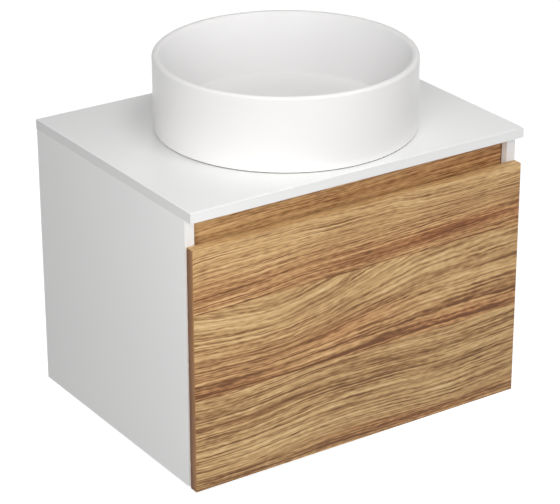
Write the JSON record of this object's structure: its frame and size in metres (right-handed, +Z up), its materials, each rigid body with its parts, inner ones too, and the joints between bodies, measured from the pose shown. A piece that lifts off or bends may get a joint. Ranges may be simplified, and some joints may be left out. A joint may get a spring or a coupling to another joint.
{
  "type": "vessel sink on vanity",
  "caption": "Wall-hung vanity: white cabinet with one deep wood-grain drawer under a recessed finger rail, thin white worktop and a round white vessel basin with waste and trap.",
  "frame": {"origin": "on the wall plane, at the middle of the cabinet's underside", "axes": "+Z up, the front faces -Y, +Y into the wall, +X to the right seen from the front"},
  "size_m": [0.6, 0.45, 0.566],
  "materials": {
    "wood_front": "satin oak veneer, grain lying across the front",
    "worktop_lacquer": "white satin lacquer on board",
    "white_board": "white matt faced board",
    "basin_ceramic": "white glaze, soft gloss",
    "chrome": "polished chrome on brass",
    "brass": "turned, bare",
    "zinc_steel": "bright zinc plated",
    "rubber": "matt black",
    "clear_rubber": "clear soft bumper",
    "silicone": "translucent grey silicone bead",
    "white_plastic": "white moulded plastic",
    "beech": "fluted beech dowel"
  },
  "bodies": {
    "cabinet": {"basin": "basin_ceramic", "basin_seal": "silicone", "bottom_panel": "white_board", "cabinet_screws": "zinc_steel", "cam_bolts": "zinc_steel", "cam_housings": "zinc_steel", "finger_rail": "wood_front", "hanger_hook_left": "zinc_steel", "hanger_hook_right": "zinc_steel", "hanger_left": "white_plastic", "hanger_right": "white_plastic", "hanging_rail": "white_board", "lower_back_rail": "white_board", "panel_dowels": "beech", "plug_cartridge": "brass", "plug_spring": "zinc_steel", "runner_cabinet_left": "zinc_steel", "runner_cabinet_right": "zinc_steel", "side_panel_left": "white_board", "side_panel_right": "white_board", "trap_body": "white_plastic", "trap_cone_seals": "rubber", "trap_cup": "white_plastic", "trap_cup_seal": "rubber", "trap_inlet_tube": "white_plastic", "trap_nuts": "white_plastic", "trap_outlet_tube": "white_plastic", "trap_union_nut": "white_plastic", "trap_union_seal": "rubber", "wall_plate_left": "zinc_steel", "wall_plate_right": "zinc_steel", "waste_backnut": "brass", "waste_body": "chrome", "waste_seat_seal": "rubber", "waste_washer": "rubber", "worktop": "worktop_lacquer", "worktop_brackets": "zinc_steel"},
    "drawer": {"drawer_back_left": "white_board", "drawer_back_right": "white_board", "drawer_bottom": "white_board", "drawer_front": "wood_front", "drawer_inner_front": "white_board", "drawer_screws": "zinc_steel", "drawer_side_left": "white_board", "drawer_side_right": "white_board", "front_bumpers": "clear_rubber", "recess_wall_front": "white_board", "recess_wall_left": "white_board", "recess_wall_right": "white_board", "runner_drawer_left": "zinc_steel", "runner_drawer_right": "zinc_steel"},
    "plug": {"plug": "chrome", "plug_seal": "rubber"},
    "middle_runner_left": {"runner_middle_left": "zinc_steel"},
    "outer_cage_left": {"outer_ball_cage_left": "zinc_steel"},
    "inner_cage_left": {"inner_ball_cage_left": "zinc_steel"},
    "middle_runner_right": {"runner_middle_right": "zinc_steel"},
    "outer_cage_right": {"outer_ball_cage_right": "zinc_steel"},
    "inner_cage_right": {"inner_ball_cage_right": "zinc_steel"}
  },
  "joints": [
    {"name": "drawer_slide", "type": "slide", "parent": "cabinet", "child": "drawer", "axis": [0, -1, 0], "range_m": [0, 0.35]},
    {"name": "outer_cage_left_slide", "type": "slide", "parent": "cabinet", "child": "outer_cage_left", "axis": [0, -1, 0], "range_m": [0, 0.0875]},
    {"name": "middle_runner_left_slide", "type": "slide", "parent": "cabinet", "child": "middle_runner_left", "axis": [0, -1, 0], "range_m": [0, 0.175]},
    {"name": "inner_cage_left_slide", "type": "slide", "parent": "cabinet", "child": "inner_cage_left", "axis": [0, -1, 0], "range_m": [0, 0.2625]},
    {"name": "outer_cage_right_slide", "type": "slide", "parent": "cabinet", "child": "outer_cage_right", "axis": [0, -1, 0], "range_m": [0, 0.0875]},
    {"name": "middle_runner_right_slide", "type": "slide", "parent": "cabinet", "child": "middle_runner_right", "axis": [0, -1, 0], "range_m": [0, 0.175]},
    {"name": "inner_cage_right_slide", "type": "slide", "parent": "cabinet", "child": "inner_cage_right", "axis": [0, -1, 0], "range_m": [0, 0.2625]},
    {"name": "plug_lift", "type": "slide", "parent": "cabinet", "child": "plug", "axis": [0, 0, 1], "range_m": [0, 0.008], "deforming": ["plug_spring"]}
  ],
  "couplings": [
    {"joint": "outer_cage_left_slide", "follows": "drawer_slide", "ratio": 0.25},
    {"joint": "middle_runner_left_slide", "follows": "drawer_slide", "ratio": 0.5},
    {"joint": "inner_cage_left_slide", "follows": "drawer_slide", "ratio": 0.75},
    {"joint": "outer_cage_right_slide", "follows": "drawer_slide", "ratio": 0.25},
    {"joint": "middle_runner_right_slide", "follows": "drawer_slide", "ratio": 0.5},
    {"joint": "inner_cage_right_slide", "follows": "drawer_slide", "ratio": 0.75}
  ]
}
